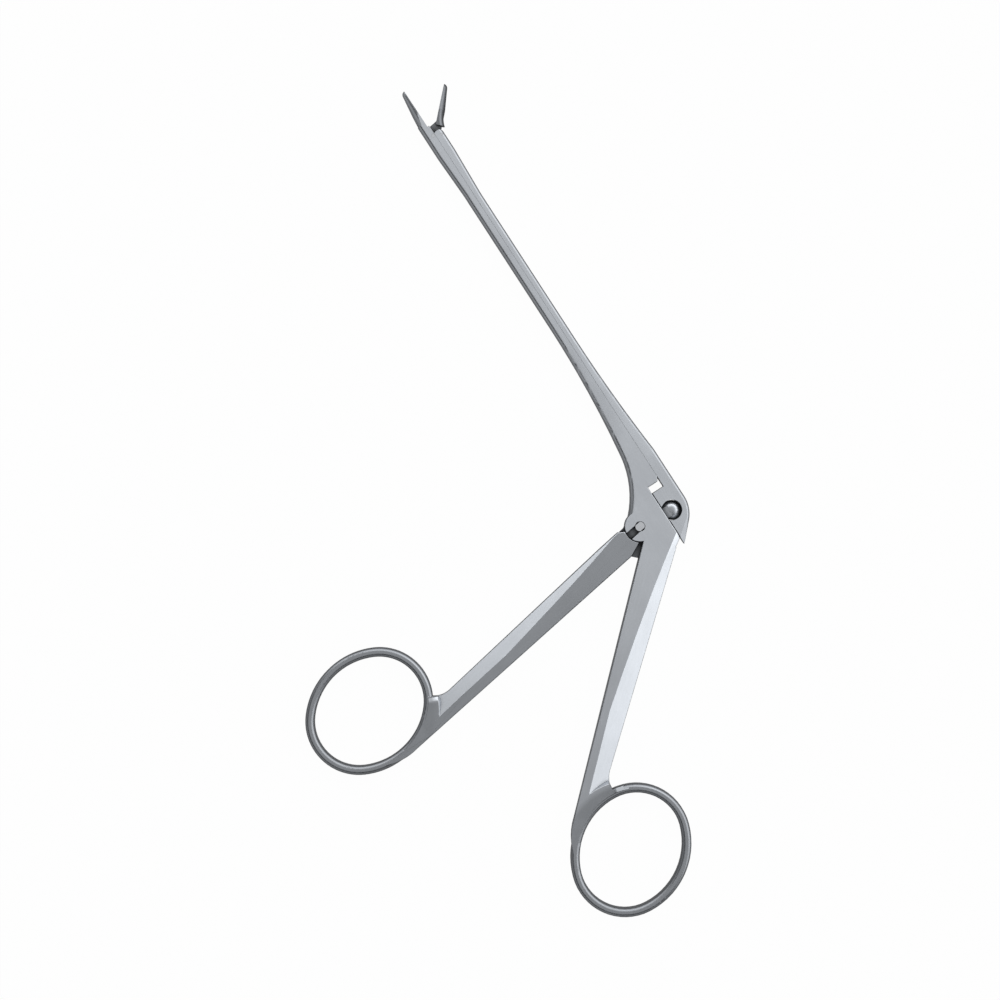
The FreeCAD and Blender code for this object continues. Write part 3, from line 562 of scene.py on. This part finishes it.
def dress(node, body, width, width_at, material, web=None):
    """A finished copy that stands for its CAD piece. width is the widest that width_at gives."""
    piece = merged_copy(node, node + "_finished")
    if web is not None:
        fill_web(piece, *web)
    break_edges(piece, width, width_at)
    piece.data.materials.clear()
    piece.data.materials.append(material)
    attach(piece, body)
    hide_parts(node)


def from_mid(point):
    return abs(point.z - MID_PLANE)


def toward(point, direction):
    """How far a point lies from the handle pivot in a direction."""
    return (point.x - PIVOT.x) * direction[0] + (point.y - PIVOT.y) * direction[1]


# The handles' bars begin below these lines, and the rear one lies further out than REAR_LIMIT
FRONT_BAR = PIVOT.y - 9 * MM
REAR_BAR = PIVOT.y - 14 * MM
REAR_LIMIT = -2 * MM

# How far out from the pivot the inside edges of both bars may lie
FRONT_INSIDE = -2 * MM
REAR_INSIDE = 2.6 * MM

# Edges nearer the middle plane than these are inner ones and stay sharp
RING_SIDE = 0.5 * MM
BAR_SIDE = 0.3 * MM
BODY_SIDE = 1.75 * MM
SLIDER_SIDE = 1.5 * MM
JAW_SIDE = 0.9 * MM
PIN_SIDE = 1.6 * MM

# The edges on the slide plane stay sharp. Under the sliding shaft's tail lies the joint with the body
SLIDE_EDGE = 0.2 * MM
SLIDE_CLEAR = 0.3 * MM
TAIL_START = PIVOT.x - 9 * MM
JOINT_LOW = SLIDE_PLANE - 3.2 * MM
TAIL_LOW = SLIDE_PLANE - 3 * MM

# The lower jaw ends at the hinge, and its edges are rounder than the body's
JAW_END = HINGE.x + 1 * MM
JAW_ROUND = 1.8

# The underside of the lower shaft: where it runs out in the body, and how its rounding narrows on the way
SHAFT_END = PIVOT.x - 6 * MM
SHAFT_LOW = SLIDE_PLANE - 1.2 * MM
ROUND_END = PIVOT.x - 14 * MM
ROUND_FADE = 26 * MM
LEAST_ROUND = 0.3


def bar_width(point, ring, out, inside, sizes):
    """Width of a broken edge on a handle: the edge on the inside of its bar is the roundest."""
    from_ring = math.hypot(point.x - ring[0], point.y - ring[1])
    if from_ring < RING_EDGE[1]:
        return sizes.body_edge if from_mid(point) > RING_SIDE else 0
    if toward(point, out) < inside:
        return sizes.long_edge
    return sizes.body_edge if from_mid(point) > BAR_SIDE else 0


class RongeurFixedHalf(bpy.types.Operator):
    """Finish the fixed half: shaft, lower jaw, cheeks and rear handle"""
    bl_idname = "rongeur.fixed_half"
    bl_label = "Fixed half"

    def execute(self, context):
        sizes, finish = context.scene.rongeur_sizes, context.scene.rongeur_finish
        # The rear handle's flats are painted darker towards its ring
        material = satin_steel(
            "satin_steel_fixed_half", finish.steel, finish.roughness, ALONG_SHAFT,
            handle_turn=REAR_TURN, ring=REAR_RING, flat_light_levels=(0.8, 1.02))

        def width_at(point):
            if point.y < REAR_BAR and toward(point, REAR_OUT) > REAR_LIMIT:
                return bar_width(point, REAR_RING, REAR_OUT, REAR_INSIDE, sizes)
            if from_mid(point) < BODY_SIDE or abs(point.y - SLIDE_PLANE) < SLIDE_EDGE:
                return 0
            if point.x > TAIL_START and JOINT_LOW < point.y < SLIDE_PLANE - SLIDE_CLEAR:
                return sizes.joint_edge
            if point.x < JAW_END:
                return sizes.body_edge * JAW_ROUND
            if point.x < SHAFT_END and point.y < SHAFT_LOW:
                return sizes.shaft_round * min(1.0, max(LEAST_ROUND, (ROUND_END - point.x) / ROUND_FADE))
            return sizes.body_edge

        dress("fixed_half", "fixed", sizes.shaft_round, width_at, material,
              web=(REAR_RING, REAR_OUT))
        return {"FINISHED"}


class RongeurFrontHandle(bpy.types.Operator):
    """Finish the front handle with its ring, tongue and ball"""
    bl_idname = "rongeur.front_handle"
    bl_label = "Front handle"

    def execute(self, context):
        sizes, finish = context.scene.rongeur_sizes, context.scene.rongeur_finish
        # The front handle's flats are painted darker, its part past the pivot painted lighter, and its
        # tongue painted with shade
        material = satin_steel(
            "satin_steel_front_handle", finish.steel, finish.roughness, FRONT_TURN,
            ring=FRONT_RING, flat_light_levels=(0.62, 0.62), far_light_level=1.4, tongue_shade=0.45)

        def width_at(point):
            if point.y < FRONT_BAR:
                return bar_width(point, FRONT_RING, FRONT_OUT, FRONT_INSIDE, sizes)
            return sizes.body_edge if from_mid(point) > BODY_SIDE else 0

        dress("front_handle", "handle", sizes.long_edge, width_at, material,
              web=(FRONT_RING, FRONT_OUT))
        return {"FINISHED"}


class RongeurSlidingShaft(bpy.types.Operator):
    """Finish the sliding shaft"""
    bl_idname = "rongeur.sliding_shaft"
    bl_label = "Sliding shaft"

    def execute(self, context):
        sizes, finish = context.scene.rongeur_sizes, context.scene.rongeur_finish
        # The sliding shaft's edges get painted shade
        material = satin_steel(
            "satin_steel_sliding_shaft", finish.steel, finish.roughness, ALONG_SHAFT, edge_shade=0.78)

        def width_at(point):
            if from_mid(point) < SLIDER_SIDE:
                return 0
            if point.y < TAIL_LOW:
                return sizes.joint_edge
            return sizes.shaft_edge if point.y > SLIDE_PLANE + SLIDE_CLEAR else 0

        dress("sliding_shaft", "slider", sizes.joint_edge, width_at, material)
        return {"FINISHED"}


class RongeurUpperJaw(bpy.types.Operator):
    """Finish the hinged upper jaw"""
    bl_idname = "rongeur.upper_jaw"
    bl_label = "Upper jaw"

    def execute(self, context):
        sizes, finish = context.scene.rongeur_sizes, context.scene.rongeur_finish
        # The upper jaw's steel is painted darker, as painted shade
        shaded_steel = [channel * JAW_SHADE for channel in finish.steel]
        material = satin_steel("satin_steel_upper_jaw", shaded_steel, finish.roughness, JAW_TURN)

        def width_at(point):
            return sizes.jaw_edge if from_mid(point) > JAW_SIDE else 0

        dress("upper_jaw", "jaw", sizes.jaw_edge, width_at, material)
        return {"FINISHED"}


class RongeurPins(bpy.types.Operator):
    """Finish the three pins"""
    bl_idname = "rongeur.pins"
    bl_label = "Pins"

    def execute(self, context):
        sizes, finish = context.scene.rongeur_sizes, context.scene.rongeur_finish
        roughness = finish.roughness - PIN_SMOOTHER
        material = satin_steel("ground_pin_steel", finish.pin_steel, roughness, FRONT_TURN)

        def width_at(point):
            return sizes.pin_edge if from_mid(point) > PIN_SIDE else 0

        for node, body in (
                ("handle_pivot_pin", "handle"), ("jaw_hinge_pin", "fixed"), ("jaw_drive_pin", "slider")):
            dress(node, body, sizes.pin_edge, width_at, material)
        return {"FINISHED"}


# The floor, in metres, and how far it lies below the instrument
FLOOR_SIZE = 6
FLOOR_GAP = 0.02 * MM
PAPER = (0.7, 0.7, 0.7, 1)
WHITE = (1, 1, 1, 1)

# Shares of its glow that the camera and reflections see, and its strength in reflections, where white is 1
CAMERA_GLOW = 0.98
MIRRORED_GLOW = 0.8
MIRRORED_STRENGTH = 0.17

# The bright side of the light tent: its turn from the view's, and the lean over which it begins
BRIGHT_TURN = math.radians(55)
BRIGHT_FROM = (-0.08, 0.24)
TENT_COLOUR = (0.97, 0.985, 1.0, 1)

# The camera's sensor, in millimetres
SENSOR_WIDTH = 36


def lay_floor():
    bpy.ops.object.select_all(action="DESELECT")
    bpy.ops.mesh.primitive_plane_add(size=FLOOR_SIZE, location=(0, 0, -FLOOR_GAP))
    floor = bpy.context.object
    floor.name = "studio_floor"
    material, nodes = new_material("pale_floor")
    paper = nodes.add("ShaderNodeBsdfDiffuse")
    paper.inputs["Color"].default_value = PAPER
    glow = nodes.add("ShaderNodeEmission")
    glow.inputs["Color"].default_value = WHITE
    path = nodes.add("ShaderNodeLightPath").outputs
    nodes.link(nodes.spread(path["Is Camera Ray"], 0, 1, MIRRORED_STRENGTH, 1), glow.inputs["Strength"])
    mirrored = nodes.math("MAXIMUM", path["Is Glossy Ray"], path["Is Transmission Ray"])
    share = nodes.math(
        "MAXIMUM",
        nodes.math("MULTIPLY", path["Is Camera Ray"], CAMERA_GLOW),
        nodes.math("MULTIPLY", mirrored, MIRRORED_GLOW))
    mix = nodes.add("ShaderNodeMixShader")
    nodes.link(share, mix.inputs[0])
    nodes.link(paper.outputs[0], mix.inputs[1])
    nodes.link(glow.outputs[0], mix.inputs[2])
    output = nodes.add("ShaderNodeOutputMaterial")
    nodes.link(mix.outputs[0], output.inputs["Surface"])
    floor.data.materials.append(material)


def light_world(scene, view_turn, finish):
    """A light tent: grey overhead, bright to the upper right of the view and dim to the lower left."""
    world = bpy.data.worlds.new("light_tent")
    scene.world = world
    world.use_nodes = True
    world.node_tree.nodes.clear()
    nodes = Nodes(world.node_tree)
    direction = nodes.axes(nodes.add("ShaderNodeTexCoord").outputs["Generated"])
    height = direction["Z"]

    # How far each direction leans towards the bright side
    turn = view_turn + BRIGHT_TURN
    lean = nodes.math(
        "ADD",
        nodes.math("MULTIPLY", direction["X"], math.cos(turn)),
        nodes.math("MULTIPLY", direction["Y"], math.sin(turn)))
    side = nodes.spread(lean, *BRIGHT_FROM, 0, 1, smooth=True)

    # Strength by height on both sides. The dim side's dark band draws the lines along the lower left edges
    bright = nodes.levels(height, (
        (0.0, 0.5), (0.35, 0.9), (0.62, finish.tent), (0.85, finish.tent), (0.975, finish.zenith)))
    dim = nodes.levels(height, (
        (0.0, 0.36), (0.3, 0.42), (0.55, 0.36), (0.73, 0.04), (0.88, 0.02), (0.985, finish.zenith)))
    tent = nodes.add("ShaderNodeBackground")
    tent.inputs["Color"].default_value = TENT_COLOUR
    nodes.link(nodes.blend(side, dim, bright), tent.inputs["Strength"])

    # The camera itself sees plain white
    white = nodes.add("ShaderNodeBackground")
    white.inputs["Color"].default_value = WHITE
    seen = nodes.add("ShaderNodeMixShader")
    nodes.link(nodes.add("ShaderNodeLightPath").outputs["Is Camera Ray"], seen.inputs[0])
    nodes.link(tent.outputs[0], seen.inputs[1])
    nodes.link(white.outputs[0], seen.inputs[2])
    output = nodes.add("ShaderNodeOutputWorld")
    nodes.link(seen.outputs[0], output.inputs["Surface"])


def place_camera(scene, sizes):
    data = bpy.data.cameras.new("photo_camera")
    data.lens = sizes.lens
    data.sensor_width = SENSOR_WIDTH
    height = sizes.view_width * data.lens / data.sensor_width
    camera = bpy.data.objects.new("photo_camera", data)
    camera.location = (PIVOT.x + sizes.view_aim[0], PIVOT.y + sizes.view_aim[1], MID_PLANE + height)
    camera.rotation_euler = (0, 0, sizes.view_turn)
    data.clip_start = 10 * MM
    scene.collection.objects.link(camera)
    scene.camera = camera


class RongeurStage(bpy.types.Operator):
    """Lay the floor, set the studio light and place the camera"""
    bl_idname = "rongeur.stage"
    bl_label = "Stage"

    def execute(self, context):
        sizes, finish = context.scene.rongeur_sizes, context.scene.rongeur_finish
        lay_floor()
        light_world(context.scene, sizes.view_turn, finish)
        place_camera(context.scene, sizes)
        context.scene.view_settings.view_transform = "Standard"
        return {"FINISHED"}


OPERATORS = (
    RongeurFixedHalf, RongeurFrontHandle, RongeurSlidingShaft, RongeurUpperJaw, RongeurPins, RongeurStage)


class RongeurPanel(bpy.types.Panel):
    """The steps of the rongeur's finish"""
    bl_idname = "VIEW3D_PT_rongeur"
    bl_label = "Disc rongeur"
    bl_space_type = "VIEW_3D"
    bl_region_type = "UI"
    bl_category = "Rongeur"

    def draw(self, context):
        for operator in OPERATORS:
            self.layout.operator(operator.bl_idname)
        for group in (context.scene.rongeur_sizes, context.scene.rongeur_finish):
            for name in group.__annotations__:
                self.layout.prop(group, name)


CLASSES = (RongeurSizes, RongeurFinish, *OPERATORS, RongeurPanel)


def register():
    for item in CLASSES:
        bpy.utils.register_class(item)
    bpy.types.Scene.rongeur_sizes = bpy.props.PointerProperty(type=RongeurSizes)
    bpy.types.Scene.rongeur_finish = bpy.props.PointerProperty(type=RongeurFinish)


def unregister():
    del bpy.types.Scene.rongeur_finish
    del bpy.types.Scene.rongeur_sizes
    for item in reversed(CLASSES):
        bpy.utils.unregister_class(item)


def main():
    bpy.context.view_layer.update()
    register()
    bpy.ops.rongeur.fixed_half()
    bpy.ops.rongeur.front_handle()
    bpy.ops.rongeur.sliding_shaft()
    bpy.ops.rongeur.upper_jaw()
    bpy.ops.rongeur.pins()
    bpy.ops.rongeur.stage()
    bpy.context.view_layer.update()


if __name__ == "__main__":
    main()
